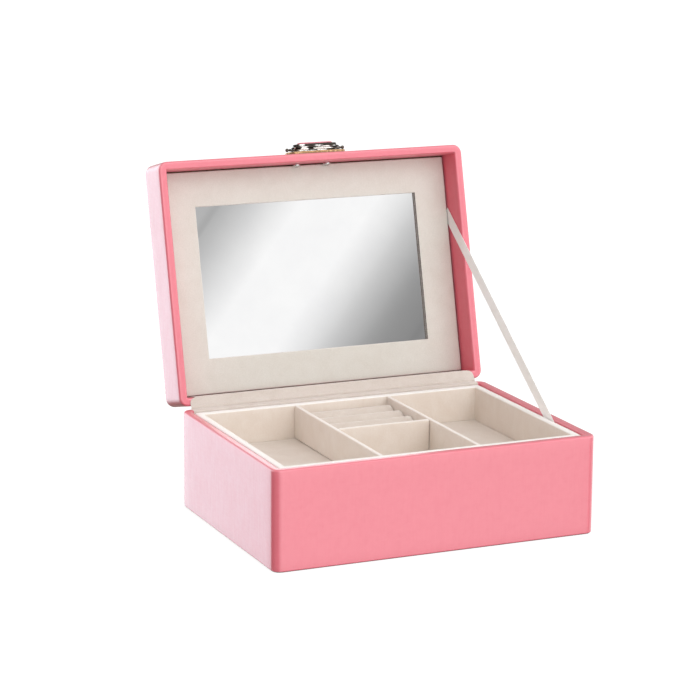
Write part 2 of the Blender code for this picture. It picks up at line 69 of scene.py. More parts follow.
def closed_box(node):
    """A lid node's lowest and highest corners with the lid shut."""
    points = [TO_CLOSED @ v.co for v in frame["nodes"][node].data.vertices]
    return (Vector([min(p[i] for p in points) for i in range(3)]),
            Vector([max(p[i] for p in points) for i in range(3)]))


BODY_LOW, BODY_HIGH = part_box("body_cover")
LID_LOW, LID_HIGH = closed_box("lid_cover")
_, LINER_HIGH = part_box("well_back_liner")
GAP = 0.3 * MM
SKIN = 0.8 * MM
OUTSIDE = Vector((BODY_HIGH.x, BODY_HIGH.y))
INSIDE = Vector((LINER_HIGH.x + GAP, LINER_HIGH.y + GAP))
WALL = OUTSIDE.x - INSIDE.x
CORNER = 7 * MM
SHARP = 0.6 * MM

# ---------------------------------------------------------------- mesh helpers


def arc(centre, radius, start, end, steps):
    """Points of an arc in a plane, both ends included; angles in degrees."""
    angles = (math.radians(start + (end - start) * i / steps) for i in range(steps + 1))
    return [Vector((centre[0] + radius * math.cos(a), centre[1] + radius * math.sin(a))) for a in angles]


def between(a, b, steps):
    """Points from a towards b, both left out."""
    a, b = Vector(a), Vector(b)
    return [a.lerp(b, i / steps) for i in range(1, steps)]


def rounded_loop(half_x, half_y, radius, corner_steps, side_steps):
    """A rounded rectangle with the same number of points at every size."""
    turns = ((1, 1, 0), (-1, 1, 90), (-1, -1, 180), (1, -1, 270))
    corners = [arc((sx * (half_x - radius), sy * (half_y - radius)), radius, a, a + 90, corner_steps)
               for sx, sy, a in turns]
    points = []
    for index, corner in enumerate(corners):
        points += corner + between(corner[-1], corners[(index + 1) % 4][0], side_steps)
    return points


def join_rings(bm, rings, closed):
    """Faces between rings of vertices that have equal counts."""
    pairs = list(zip(rings, rings[1:])) + ([(rings[-1], rings[0])] if closed else [])
    for one, two in pairs:
        count = len(one)
        for i in range(count):
            k = (i + 1) % count
            bm.faces.new((one[i], one[k], two[k], two[i]))


def sweep(half, radius, profile, closed=True, corner_steps=8, side_steps=14):
    """A bmesh with the profile's (inset, height) points carried round a rounded rectangle.
    An open profile is capped at both ends."""
    bm = bmesh.new()
    rings = []
    for inset, height in profile:
        loop = rounded_loop(half.x - inset, half.y - inset, max(radius - inset, SHARP / 2),
                            corner_steps, side_steps)
        rings.append([bm.verts.new((p.x, p.y, height)) for p in loop])
    join_rings(bm, rings, closed)
    if not closed:
        bm.faces.new(rings[0])
        bm.faces.new(rings[-1])
    return bm


def turned(profile, steps=28):
    """A bmesh of (radius, height) points turned about Z, closed at both ends."""
    bm = bmesh.new()
    rings = []
    for radius, height in profile:
        rings.append([bm.verts.new((radius * math.cos(math.tau * i / steps),
                                    radius * math.sin(math.tau * i / steps), height))
                      for i in range(steps)])
    join_rings(bm, rings, False)
    bm.faces.new(rings[0])
    bm.faces.new(rings[-1])
    return bm


def axis_stops(half, radius, spacing, round_steps=4):
    """Stops from -half to half, dense where an edge of this radius is rounded."""
    inner = half - radius
    count = max(1, round(2 * inner / spacing))
    middle = [-inner + 2 * inner * i / count for i in range(count + 1)]
    edge = [inner + radius * math.tan(math.radians(45) * i / round_steps)
            for i in range(1, round_steps + 1)]
    return [-e for e in reversed(edge)] + middle + edge


def padded_box(low, high, radius, spacing):
    """A bmesh block with rounded edges and a grid of faces on every side."""
    low, high = Vector(low), Vector(high)
    centre, half = (low + high) / 2, (high - low) / 2
    stops = [axis_stops(half[i], radius, spacing) for i in range(3)]
    last = [len(s) - 1 for s in stops]
    bm = bmesh.new()
    made = {}

    def vertex(key):
        if key not in made:
            raw = Vector([stops[i][key[i]] for i in range(3)])
            core = Vector([max(radius - half[i], min(half[i] - radius, raw[i])) for i in range(3)])
            out = raw - core
            point = core + out.normalized() * radius if out.length > 0 else raw
            made[key] = bm.verts.new(centre + point)
        return made[key]

    for axis in range(3):
        u, v = (axis + 1) % 3, (axis + 2) % 3
        for side in (0, last[axis]):
            for i in range(last[u]):
                for k in range(last[v]):
                    keys = []
                    for a, b in ((i, k), (i + 1, k), (i + 1, k + 1), (i, k + 1)):
                        key = [0, 0, 0]
                        key[axis], key[u], key[v] = side, a, b
                        keys.append(tuple(key))
                    bm.faces.new([vertex(key) for key in keys])
    return bm


def soften(bm, size, amount, seed):
    """Moves each vertex by smooth noise, so that hand-covered faces aren't dead flat."""
    offset = Vector((seed * 7.1, seed * 3.7, seed * 5.3))
    bm.normal_update()
    shifts = [v.normal * amount * noise.noise(v.co / size + offset) for v in bm.verts]
    for v, shift in zip(bm.verts, shifts):
        v.co += shift


def piece(name, bm, finish, body=None, place=None, replaces=(), sharp=40):
    """An object from a bmesh, in place, smooth shaded, finished and riding on its body."""
    bmesh.ops.recalc_face_normals(bm, faces=bm.faces)
    if place:
        bm.transform(place)
    mesh = bpy.data.meshes.new(name)
    bm.to_mesh(mesh)
    bm.free()
    mesh.materials.append(finish)
    mesh.shade_smooth()
    mesh.set_sharp_from_angle(angle=math.radians(sharp))
    item = bpy.data.objects.new(name, mesh)
    bpy.context.scene.collection.objects.link(item)
    if body:
        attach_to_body(item, body)
    if replaces:
        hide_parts(*replaces)
    return item


def cut_blocks(item, blocks):
    """Cuts axis-aligned blocks, each a low and a high corner, out of an object's mesh."""
    for low, high in blocks:
        low, high = Vector(low), Vector(high)
        bm = bmesh.new()
        bmesh.ops.create_cube(bm, size=1, matrix=Matrix.Translation((low + high) / 2)
                              @ Matrix.Diagonal((*(high - low), 1)))
        mesh = bpy.data.meshes.new("cutter")
        bm.to_mesh(mesh)
        bm.free()
        cutter = bpy.data.objects.new("cutter", mesh)
        bpy.context.scene.collection.objects.link(cutter)
        change = item.modifiers.new("cut", "BOOLEAN")
        change.operation, change.solver, change.object = "DIFFERENCE", "EXACT", cutter
        bpy.context.view_layer.update()
        result = bpy.data.meshes.new_from_object(
            item.evaluated_get(bpy.context.evaluated_depsgraph_get()))
        item.modifiers.clear()
        item.data = result
        bpy.data.objects.remove(cutter)


# ---------------------------------------------------------------- materials


def node(tree, kind, sockets=None, **settings):
    """Adds a shader node; a socket's value is a constant or another node's output."""
    made = tree.nodes.new("ShaderNode" + kind)
    for key, value in settings.items():
        setattr(made, key, value)
    for key, value in (sockets or {}).items():
        if isinstance(value, bpy.types.NodeSocket):
            tree.links.new(value, made.inputs[key])
        else:
            made.inputs[key].default_value = value
    return made


def grain(tree, where, size, detail=3.0, rough=0.55, distortion=0.0):
    """Noise whose features are about this size in metres."""
    return node(tree, "TexNoise", {"Vector": where, "Scale": 1 / size, "Detail": detail,
                                   "Roughness": rough, "Distortion": distortion}).outputs["Fac"]


def ramp(tree, factor, low, high, to_low=0.0, to_high=1.0):
    return node(tree, "MapRange", {"Value": factor, "From Min": low, "From Max": high,
                                   "To Min": to_low, "To Max": to_high}).outputs["Result"]


def math_node(tree, operation, a, b):
    return node(tree, "Math", {0: a, 1: b}, operation=operation).outputs[0]


def mix_colour(tree, factor, a, b, blend="MIX"):
    made = node(tree, "Mix", data_type="RGBA", blend_type=blend)
    for socket, value in ((made.inputs[0], factor), (made.inputs[6], a), (made.inputs[7], b)):
        if isinstance(value, bpy.types.NodeSocket):
            tree.links.new(value, socket)
        else:
            socket.default_value = value
    return made.outputs[2]


def bump(tree, height, distance, strength=1.0, under=None):
    sockets = {"Height": height, "Distance": distance, "Strength": strength}
    if under:
        sockets["Normal"] = under
    return node(tree, "Bump", sockets).outputs["Normal"]


def material(name):
    """A node material with a Principled shader: the material, tree, shader and object coordinates."""
    made = bpy.data.materials.new(name)
    made.use_nodes = True
    tree = made.node_tree
    tree.nodes.clear()
    shader = node(tree, "BsdfPrincipled")
    out = node(tree, "OutputMaterial", {"Surface": shader.outputs[0]})
    out.is_active_output = True
    where = node(tree, "TexCoord").outputs["Object"]
    return made, tree, shader, where


def attach(tree, shader, **sockets):
    """Sets or links the shader's sockets; underscores in a name stand for spaces."""
    for key, value in sockets.items():
        socket = shader.inputs[key.replace("_", " ")]
        if isinstance(value, bpy.types.NodeSocket):
            tree.links.new(value, socket)
        else:
            socket.default_value = value


def make_leather(name, coat):
    """Split leather: fine pebble grain, brushed streaks, faint mottling and paler edges, partly wear and
    partly a painted highlight where the edges catch the light.
    The coat's share is 1 on the glossy outside and low where the leather lines the lid."""
    made, tree, shader, where = material(name)
    pebble = node(tree, "TexVoronoi", {"Vector": where, "Scale": 1 / (0.9 * MM), "Randomness": 1.0},
                  feature="F1").outputs["Distance"]
    pores = grain(tree, where, 0.45 * MM, detail=2.0)
    mottling = grain(tree, where, 22 * MM, detail=4.0)
    creases = grain(tree, where, 6 * MM, detail=3.0, distortion=0.6)
    upright = node(tree, "Mapping", {"Vector": where, "Scale": (1.0, 1.0, 0.10)}).outputs["Vector"]
    level = node(tree, "Mapping", {"Vector": where, "Scale": (0.25, 0.25, 1.0)}).outputs["Vector"]
    brushing = math_node(tree, "ADD", math_node(tree, "MULTIPLY", grain(tree, upright, 1.5 * MM), 0.62),
                         math_node(tree, "MULTIPLY", grain(tree, level, 1.5 * MM), 0.38))
    colour = mix_colour(tree, ramp(tree, mottling, 0.3, 0.7), (0.772, 0.132, 0.186, 1),
                        (0.790, 0.142, 0.196, 1))
    colour = mix_colour(tree, ramp(tree, creases, 0.45, 0.75, 0, 0.35), colour, (0.735, 0.110, 0.158, 1))
    colour = mix_colour(tree, ramp(tree, brushing, 0.35, 0.65, 0, 0.22), colour, (0.810, 0.170, 0.220, 1))
    # Paler convex edges: partly wear, partly a painted highlight where the edges catch the light.
    edge = ramp(tree, node(tree, "NewGeometry").outputs["Pointiness"], 0.52, 0.58, 0, 0.5)
    colour = mix_colour(tree, edge, colour, (0.86, 0.38, 0.45, 1))
    rough = math_node(tree, "ADD", ramp(tree, mottling, 0.3, 0.7, 0.36, 0.44),
                      ramp(tree, pores, 0.3, 0.7, -0.02, 0.04))
    rough = math_node(tree, "ADD", rough, ramp(tree, brushing, 0.35, 0.65, 0.05, -0.05))
    relief = bump(tree, pebble, 0.05 * MM, 0.35)
    relief = bump(tree, creases, 0.10 * MM, 0.25, relief)
    relief = bump(tree, brushing, 0.10 * MM, 0.30, relief)
    attach(tree, shader, Base_Color=colour, Roughness=rough, Normal=relief, IOR=1.5,
           Specular_IOR_Level=0.5 * coat, Coat_Weight=coat, Coat_Roughness=0.27, Coat_IOR=1.85,
           Sheen_Weight=0.10, Sheen_Roughness=0.5)
    return made


def make_velvet(name, light, dark, painted_highlight_height=None, worn_and_painted_light=0.9):
    """Short flock pile over card: brushed patches, fine fibre grain and a pale sheen. Its edges are painted
    paler by the given share, a painted highlight where they catch the light and partly rubbed pile; and
    above the given height the tops are painted paler, a painted highlight along the lit tops."""
    made, tree, shader, where = material(name)
    brushed = grain(tree, where, 16 * MM, detail=4.0, distortion=0.8)
    streaks = node(tree, "Mapping", {"Vector": where, "Scale": (1.0, 1.0, 0.25)}).outputs["Vector"]
    nap = grain(tree, streaks, 1.3 * MM, detail=3.0)
    fibres = grain(tree, where, 0.55 * MM, detail=3.0)
    colour = mix_colour(tree, ramp(tree, brushed, 0.3, 0.7), dark, light)
    colour = mix_colour(tree, ramp(tree, nap, 0.35, 0.75, 0, 0.5), colour, dark)
    colour = mix_colour(tree, ramp(tree, fibres, 0.3, 0.7, 0.0, 0.30), colour, (0.90, 0.86, 0.81, 1))
    # Painted highlight: convex edges, where the pile catches the light, are painted paler, partly also as
    # rubbed pile.
    edge = ramp(tree, node(tree, "NewGeometry").outputs["Pointiness"], 0.515, 0.56, 0, worn_and_painted_light)
    colour = mix_colour(tree, edge, colour, (0.97, 0.965, 0.94, 1))
    # Painted highlight: everything above the given height, the lit tops of the walls and dividers, is
    # painted paler.
    if painted_highlight_height:
        height = node(tree, "SeparateXYZ", {"Vector": where}).outputs["Z"]
        colour = mix_colour(tree, ramp(tree, height, painted_highlight_height - 0.25 * MM, painted_highlight_height + 0.25 * MM, 0, 0.75), colour,
                            (0.97, 0.97, 0.95, 1))
    relief = bump(tree, fibres, 0.10 * MM, 0.55)
    relief = bump(tree, nap, 0.14 * MM, 0.35, relief)
    attach(tree, shader, Base_Color=colour, Roughness=0.93, Normal=relief, Specular_IOR_Level=0.15,
           Sheen_Weight=0.85, Sheen_Roughness=0.40, Sheen_Tint=(1.0, 0.98, 0.95, 1))
    return made


def make_ribbon():
    """Plain-woven satin ribbon, its threads laid along the strip's own map."""
    made, tree, shader, where = material("ribbon_satin")
    along = node(tree, "UVMap", uv_map="threads").outputs["UV"]
    warp = node(tree, "TexWave", {"Vector": along, "Scale": 1 / (0.45 * MM) / math.tau,
                                  "Distortion": 0.4, "Detail": 1.0, "Detail Scale": 2.0},
                wave_type="BANDS", bands_direction="X").outputs["Fac"]
    weft = node(tree, "TexWave", {"Vector": along, "Scale": 1 / (0.30 * MM) / math.tau,
                                  "Distortion": 0.5, "Detail": 1.0, "Detail Scale": 2.0},
                wave_type="BANDS", bands_direction="Y").outputs["Fac"]
    weave = math_node(tree, "MULTIPLY", warp, weft)
    patches = grain(tree, where, 9 * MM)
    colour = mix_colour(tree, ramp(tree, patches, 0.3, 0.7), (0.92, 0.95, 0.90, 1), (0.96, 0.985, 0.95, 1))
    colour = mix_colour(tree, ramp(tree, weave, 0.0, 0.8, 0.10, 0.0), colour, (0.74, 0.72, 0.65, 1))
    relief = bump(tree, weave, 0.06 * MM, 0.5)
    attach(tree, shader, Base_Color=colour, Roughness=0.46, Normal=relief, Specular_IOR_Level=0.4,
           Anisotropic=0.5, Sheen_Weight=1.0, Sheen_Roughness=0.5, Subsurface_Weight=0.7,
           Subsurface_Radius=(1, 1, 1), Subsurface_Scale=0.8 * MM,
           Coat_Weight=0.8, Coat_Roughness=0.3, Coat_IOR=1.7)
    return made


def make_metal(name, colour, worn_and_painted_light, roughness, dents=0.02, patch=2.6, blend=0.18,
               share=0.5, stretch=1.0):
    """Plated metal: fine polishing lines, faint smudges, duller patches and shallow dents; where the blend
    is sharp and the second colour near black, the patches are painted dark reflections.
    """
    made, tree, shader, where = material(name)
    drawn = node(tree, "Mapping", {"Vector": where, "Scale": (stretch, 1.0, 1.0)}).outputs["Vector"]
    smears_and_painted_reflections = grain(tree, drawn, patch * MM, detail=2.0)
    lines = node(tree, "Mapping", {"Vector": where, "Scale": (0.06, 1.0, 1.0)}).outputs["Vector"]
    polish = grain(tree, lines, 0.12 * MM, detail=2.0)
    # The second colour over the noise patches: duller wear on most metals, painted dark reflections on the
    # chrome.
    tint = mix_colour(tree, ramp(tree, smears_and_painted_reflections, share - blend, share + blend), colour, worn_and_painted_light)
    rough = math_node(tree, "ADD", ramp(tree, smears_and_painted_reflections, 0.3, 0.75, roughness, roughness + 0.10),
                      ramp(tree, polish, 0.3, 0.7, 0.0, 0.03))
    ripples = grain(tree, where, 3.2 * MM, detail=2.0, distortion=0.8)
    relief = bump(tree, ripples, dents * MM, 1.0, bump(tree, polish, 0.01 * MM, 0.25))
    attach(tree, shader, Base_Color=tint, Metallic=1.0, Roughness=rough, Normal=relief)
    return made


def make_mirror():
    """Silvered glass with the faintest handling haze."""
    made, tree, shader, where = material("mirror_silver")
    haze = grain(tree, where, 30 * MM, detail=4.0)
    tint = mix_colour(tree, ramp(tree, haze, 0.35, 0.7), (0.945, 0.945, 0.945, 1), (0.915, 0.915, 0.92, 1))
    attach(tree, shader, Base_Color=tint, Metallic=1.0,
           Roughness=ramp(tree, haze, 0.4, 0.8, 0.0, 0.03))
    return made


def make_board():
    """Raw fibreboard: pressed fibres with darker flecks."""
    made, tree, shader, where = material("fibreboard")
    long_way = node(tree, "Mapping", {"Vector": where, "Scale": (0.35, 1.0, 1.0)}).outputs["Vector"]
    fibres = grain(tree, long_way, 0.9 * MM, detail=6.0)
    flecks = grain(tree, where, 2.5 * MM, detail=2.0)
    tint = mix_colour(tree, ramp(tree, fibres, 0.3, 0.7), (0.30, 0.21, 0.13, 1), (0.50, 0.37, 0.24, 1))
    tint = mix_colour(tree, ramp(tree, flecks, 0.62, 0.70), tint, (0.17, 0.11, 0.07, 1))
    attach(tree, shader, Base_Color=tint, Roughness=0.9, Normal=bump(tree, fibres, 0.12 * MM, 0.5),
           Specular_IOR_Level=0.2)
    return made


def make_underside():
    """Black embossed backing paper."""
    made, tree, shader, where = material("underside_paper")
    embossing = node(tree, "TexVoronoi", {"Vector": where, "Scale": 1 / (1.6 * MM)},
                     feature="DISTANCE_TO_EDGE").outputs["Distance"]
    dust = grain(tree, where, 12 * MM, detail=5.0)
    tint = mix_colour(tree, ramp(tree, dust, 0.35, 0.75), (0.018, 0.017, 0.018, 1), (0.045, 0.042, 0.042, 1))
    attach(tree, shader, Base_Color=tint, Roughness=ramp(tree, dust, 0.3, 0.7, 0.62, 0.8),
           Normal=bump(tree, embossing, 0.12 * MM, 0.6), Specular_IOR_Level=0.35)
    return made


def make_floor():
    made, tree, shader, where = material("studio_floor")
    tone = grain(tree, where, 0.8, detail=2.0)
    attach(tree, shader, Base_Color=mix_colour(tree, tone, (0.30, 0.30, 0.30, 1), (0.31, 0.31, 0.31, 1)),
           Roughness=0.8, Specular_IOR_Level=0.1, Emission_Color=(1, 1, 1, 1), Emission_Strength=0.82)
    return made


LEATHER = make_leather("pink_leather", 1.0)
LINING = make_leather("matt_lining_leather", 0.25)
VELVET = make_velvet("velvet", (0.69, 0.620, 0.550, 1), (0.63, 0.548, 0.470, 1))
STRIP_VELVET = make_velvet("strip_velvet", (0.66, 0.592, 0.540, 1), (0.60, 0.523, 0.462, 1), worn_and_painted_light=0.0)
PANEL_VELVET = make_velvet("panel_velvet", (0.655, 0.640, 0.585, 1), (0.61, 0.585, 0.525, 1))
# Painted shade: a near-black velvet for the window's +X reveal, standing for the shade there.
PAINTED_REVEAL_SHADE = make_velvet("painted_reveal_shade", (0.10, 0.09, 0.085, 1), (0.06, 0.055, 0.05, 1), worn_and_painted_light=0.0)
# The same velvet painted paler for the tray's walls and dividers, to lift their shaded faces; it also
# carries the painted highlight along their tops.
TRAY_VELVET = make_velvet("tray_velvet", (0.82, 0.745, 0.668, 1), (0.755, 0.660, 0.572, 1),
                          painted_highlight_height=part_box("cross_divider")[1].z - 0.05 * MM)
RIBBON = make_ribbon()
GOLD = make_metal("pale_gold_plate", (0.56, 0.36, 0.20, 1), (0.34, 0.20, 0.10, 1), 0.14, dents=0.4)
# Chrome whose near-black streaked patches are painted dark reflections, not a dark metal.
CHROME = make_metal("chrome_painted_dark_reflections", (0.86, 0.85, 0.82, 1), (0.05, 0.042, 0.035, 1), 0.05,
                    dents=0.8, patch=4.2, blend=0.03, share=0.45, stretch=0.30)
BLACK_NICKEL = make_metal("black_nickel", (0.20, 0.17, 0.15, 1), (0.05, 0.042, 0.035, 1), 0.08, dents=0.3)
STEEL = make_metal("screw_steel", (0.66, 0.66, 0.65, 1), (0.50, 0.50, 0.49, 1), 0.16, dents=0.3)
BRASS = make_metal("hinge_brass", (0.70, 0.52, 0.26, 1), (0.52, 0.36, 0.17, 1), 0.24)
MIRROR = make_mirror()
BOARD = make_board()
UNDERSIDE = make_underside()

# ---------------------------------------------------------------- leather of the body and the lid

EDGE_ROUND = 1.8 * MM
INNER_ROUND = 1.6 * MM
FOOT_ROUND = 1.1 * MM
FOOT_TURN = 2.2 * MM
LID_EDGE_ROUND = 2.6 * MM
TOP_INSETS_MM = (6, 12, 22, 38, 60, 82)
LINER_FOOT = 8 * MM
BEHIND = OUTSIDE.y + 3 * MM
UNDULATION = 40 * MM


def body_skin(depth):
    """The body leather's section from foot to inside, this deep in its thickness."""
    foot, top = BODY_LOW.z, BODY_HIGH.z
    low = foot + depth
    out = [Vector((FOOT_TURN, low))]
    out += arc((FOOT_ROUND, foot + FOOT_ROUND), FOOT_ROUND - depth, 270, 180, 6)
    out += between(out[-1], (depth, top - EDGE_ROUND), 10)
    out += arc((EDGE_ROUND, top - EDGE_ROUND), EDGE_ROUND - depth, 180, 90, 6)
    out += between(out[-1], (WALL - INNER_ROUND, top - depth), 3)
    out += arc((WALL - INNER_ROUND, top - INNER_ROUND), INNER_ROUND - depth, 90, 0, 5)
    out += between(out[-1], (WALL - depth, foot + LINER_FOOT), 8)
    return out + [Vector((WALL - depth, foot + LINER_FOOT))]


def leather_notches(names, low, high):
    """Blocks that clear the hinge leaves and knuckles out of a back rim."""
    blocks = []
    for name in names:
        one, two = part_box(name)
        blocks.append(((one.x - GAP, low[0], low[1]), (two.x + GAP, high[0], high[1])))
    return blocks


def make_body_leather():
    profile = body_skin(0) + list(reversed(body_skin(SKIN)))
    bm = sweep(OUTSIDE, CORNER, profile)
    soften(bm, UNDULATION, 0.10 * MM, 1)
    item = piece("body_leather", bm, LEATHER, "case_body", replaces=["body_cover"])
    leaf_low, leaf_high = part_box("left_hinge_lower_leaf")
    cut_blocks(item, leather_notches(("left_hinge_lower_leaf", "right_hinge_lower_leaf"),
                                     (leaf_low.y - GAP, leaf_low.z - GAP),
                                     (BEHIND, leaf_high.z + GAP)))


def lid_skin(depth, flange):
    """The lid leather's section from inside, over the rim, to the middle of the top."""
    rim, top = LID_LOW.z, LID_HIGH.z
    out = [Vector((WALL - depth, flange))]
    out += between(out[0], (WALL - depth, rim + INNER_ROUND), 6)
    out += arc((WALL - INNER_ROUND, rim + INNER_ROUND), INNER_ROUND - depth, 0, -90, 5)
    out += between(out[-1], (EDGE_ROUND, rim + depth), 3)
    out += arc((EDGE_ROUND, rim + EDGE_ROUND), EDGE_ROUND - depth, 270, 180, 6)
    out += between(out[-1], (depth, top - LID_EDGE_ROUND), 6)
    out += arc((LID_EDGE_ROUND, top - LID_EDGE_ROUND), LID_EDGE_ROUND - depth, 180, 90, 8)
    return out + [Vector((inset * MM, top - depth)) for inset in TOP_INSETS_MM]


def make_lid_leather():
    flange = closed_box("mirror_surround")[0].z + GAP
    outer, inner = lid_skin(0, flange), lid_skin(SKIN, flange)
    bm = bmesh.new()
    rings = []
    for inset, height in list(reversed(inner)) + outer:
        turn = 6 * MM if inset > WALL else max(CORNER - inset, SHARP / 2)
        loop = rounded_loop(OUTSIDE.x - inset, OUTSIDE.y - inset, turn, 8, 14)
        rings.append([bm.verts.new((p.x, p.y, height)) for p in loop])
    join_rings(bm, rings, False)
    bm.faces.new(rings[0])
    bm.faces.new(rings[-1])
    soften(bm, UNDULATION, 0.10 * MM, 2)
    for ring in (rings[0], rings[-1]):
        middle = sum(v.co.z for v in ring) / len(ring)
        for v in ring:
            v.co.z = middle
    item = piece("lid_leather", bm, LEATHER, replaces=["lid_cover"])
    item.data.materials.append(LINING)
    leaf_low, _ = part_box("left_hinge_lower_leaf")
    knuckle = PIVOT.z + 2.3 * MM
    cut_blocks(item, leather_notches(("left_hinge_lower_leaf", "right_hinge_lower_leaf"),
                                     (leaf_low.y - GAP, LID_LOW.z - MM),
                                     (BEHIND, knuckle)))
    for face in item.data.polygons:
        middle = face.center
        if max(abs(middle.x) - INSIDE.x, abs(middle.y) - INSIDE.y) < 0.2 * MM and middle.z < flange + MM:
            face.material_index = 1
    item.data.transform(TO_OPEN)
    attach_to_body(item, "lid")


make_body_leather()
make_lid_leather()

# ---------------------------------------------------------------- velvet lining, tray and dividers


def velvet_ring(name, outer, thickness, low, high, body, finish, top_round, radius, seed, replaced):
    """A continuous covered wall round a rectangle, with a soft rounded top."""
    foot = 0.5 * MM
    profile = arc((foot, low + foot), foot, 270, 180, 3)
    profile += between(profile[-1], (0, high - top_round), 6)
    profile += arc((top_round, high - top_round), top_round, 180, 90, 5)
    profile += arc((thickness - top_round, high - top_round), top_round, 90, 0, 5)
    profile += between(profile[-1], (thickness, low + foot), 6)
    profile += arc((thickness - foot, low + foot), foot, 0, -90, 3)
    bm = sweep(outer, radius, profile, side_steps=40)
    soften(bm, 14 * MM, 0.12 * MM, seed)
    return piece(name, bm, finish, body, replaces=replaced)


def velvet_board(name, body, radius, seed, finish=VELVET, spacing=4 * MM, ripple=0.08):
    """A covered board in the place of the CAD node of the same purpose."""
    low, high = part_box(name)
    bm = padded_box(low, high, radius, spacing)
    soften(bm, 12 * MM, ripple * MM, seed)
    return piece(f"{name}_velvet", bm, finish, body, replaces=[name])


def span(*names):
    """The box round several CAD nodes."""
    boxes = [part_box(n) for n in names]
    return (Vector([min(b[0][i] for b in boxes) for i in range(3)]),
            Vector([max(b[1][i] for b in boxes) for i in range(3)]))


TRAY_WALLS = [f"tray_{side}_wall" for side in ("front", "back", "left", "right")]
WELL_WALLS = [f"well_{side}_liner" for side in ("front", "back", "left", "right")]


def make_tray():
    low, high = span(*TRAY_WALLS)
    wall = high.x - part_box("tray_right_wall")[0].x
    velvet_ring("tray_walls_velvet", Vector((high.x, high.y)), wall, low.z, high.z, "tray",
                TRAY_VELVET, 1.5 * MM, 2 * MM, 3, TRAY_WALLS)
    velvet_board("tray_floor", "tray", 0.6 * MM, 4, spacing=6 * MM, ripple=0.15)
    velvet_board("left_divider", "tray", 1.0 * MM, 5, TRAY_VELVET)
    velvet_board("right_divider", "tray", 1.0 * MM, 6, TRAY_VELVET)
    velvet_board("cross_divider", "tray", 1.0 * MM, 7, TRAY_VELVET)


def make_well():
    low, high = span(*WELL_WALLS)
    thickness = high.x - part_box("well_right_liner")[0].x
    velvet_ring("well_walls_velvet", Vector((high.x, high.y)), thickness, low.z, high.z, "case_body",
                VELVET, 1.0 * MM, 1 * MM, 8, WELL_WALLS)
    pad = velvet_board("well_floor_pad", "case_body", 0.8 * MM, 9, spacing=6 * MM, ripple=0.2)


def make_ring_roll(index):
    """A foam roll under velvet: an oval section, tucked in at both ends."""
    name = f"ring_roll_{index}"
    low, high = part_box(name)
    centre, half = (low + high) / 2, (high - low) / 2
    end_round = 2.4 * MM
    stops = [-half.x + end_round * (1 - math.cos(math.radians(a))) for a in range(0, 91, 15)]
    insets = [end_round * (1 - math.sin(math.radians(a))) for a in range(0, 91, 15)]
    count = 26
    middle = [stops[-1] + (2 * (half.x - end_round)) * i / count for i in range(1, count)]
    rows = list(zip(stops, insets)) + [(x, 0.0) for x in middle]
    rows += [(-x, inset) for x, inset in reversed(list(zip(stops, insets)))]
    bm = bmesh.new()
    rings = []
    sides = 40
    for x, inset in rows:
        ring = []
        for i in range(sides):
            a = math.tau * i / sides
            ring.append(bm.verts.new((centre.x + x, centre.y + (half.y - inset) * math.cos(a),
                                      centre.z + (half.z - inset) * math.sin(a))))
        rings.append(ring)
    join_rings(bm, rings, False)
    bm.faces.new(rings[0])
    bm.faces.new(rings[-1])
    soften(bm, 10 * MM, 0.16 * MM, 10 + index)
    roll = piece(f"{name}_velvet", bm, VELVET, "tray", replaces=[name])


make_tray()
make_well()
for number in range(1, 5):
    make_ring_roll(number)

# ---------------------------------------------------------------- mirror panel


def make_mirror_panel():
    """A velvet-covered frame with rolled edges; its window's +X reveal is covered in near-black velvet as
    painted shade.
    """
    low, high = closed_box("mirror_panel")
    _, glass_high = closed_box("mirror_glass")
    lap = 5.2 * MM
    border = high.x - (glass_high.x - lap)
    outer_round, window_round = 0.9 * MM, 0.7 * MM
    profile = [Vector((outer_round, high.z))]
    profile += arc((outer_round, high.z - outer_round), outer_round, 90, 180, 4)[1:]
    profile += arc((outer_round, low.z + outer_round), outer_round, 180, 270, 5)
    profile += between(profile[-1], (border - window_round, low.z), 10)
    profile += arc((border - window_round, low.z + window_round), window_round, 270, 360, 5)
    profile += arc((border - window_round, high.z - window_round), window_round, 0, 90, 4)
    bm = sweep(Vector((high.x, high.y)), 1 * MM, profile, side_steps=40, corner_steps=4)
    soften(bm, 18 * MM, 0.10 * MM, 20)
    item = piece("mirror_panel_velvet", bm, PANEL_VELVET, replaces=["mirror_panel"])
    item.data.materials.append(PAINTED_REVEAL_SHADE)
    # The faces of the window's +X reveal take the near-black velvet as painted shade.
    window = high.x - border
    for face in item.data.polygons:
        if abs(face.center.x - window) < 0.5 * MM and face.normal.x < -0.6:
            face.material_index = 1
    item.data.transform(TO_OPEN)
    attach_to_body(item, "lid")


make_mirror_panel()

# ---------------------------------------------------------------- hinge strip and ribbon


def opened(s, t):
    """Y and Z on the open lid: s from its back edge to its front, t in from the rim."""
    p = TO_OPEN @ Vector((0, OUTSIDE.y - s, LID_LOW.z + t))
    return Vector((p.y, p.z))


def spread(points, spacing):
    """The same path with points at most this far apart."""
    out = [points[0]]
    for a, b in zip(points, points[1:]):
        out += between(a, b, max(1, math.ceil((b - a).length / spacing))) + [b]
    return out


def path_length(points):
    return sum((b - a).length for a, b in zip(points, points[1:]))


def corner_arc(a, corner, b, radius, steps=5):
    """Rounds the corner of a path with points on a curve from one leg to the other."""
    one = corner + (a - corner).normalized() * radius
    two = corner + (b - corner).normalized() * radius
    out = []
    for i in range(steps + 1):
        t = i / steps
        out.append(one * (1 - t) ** 2 + corner * 2 * t * (1 - t) + two * t ** 2)
    return out


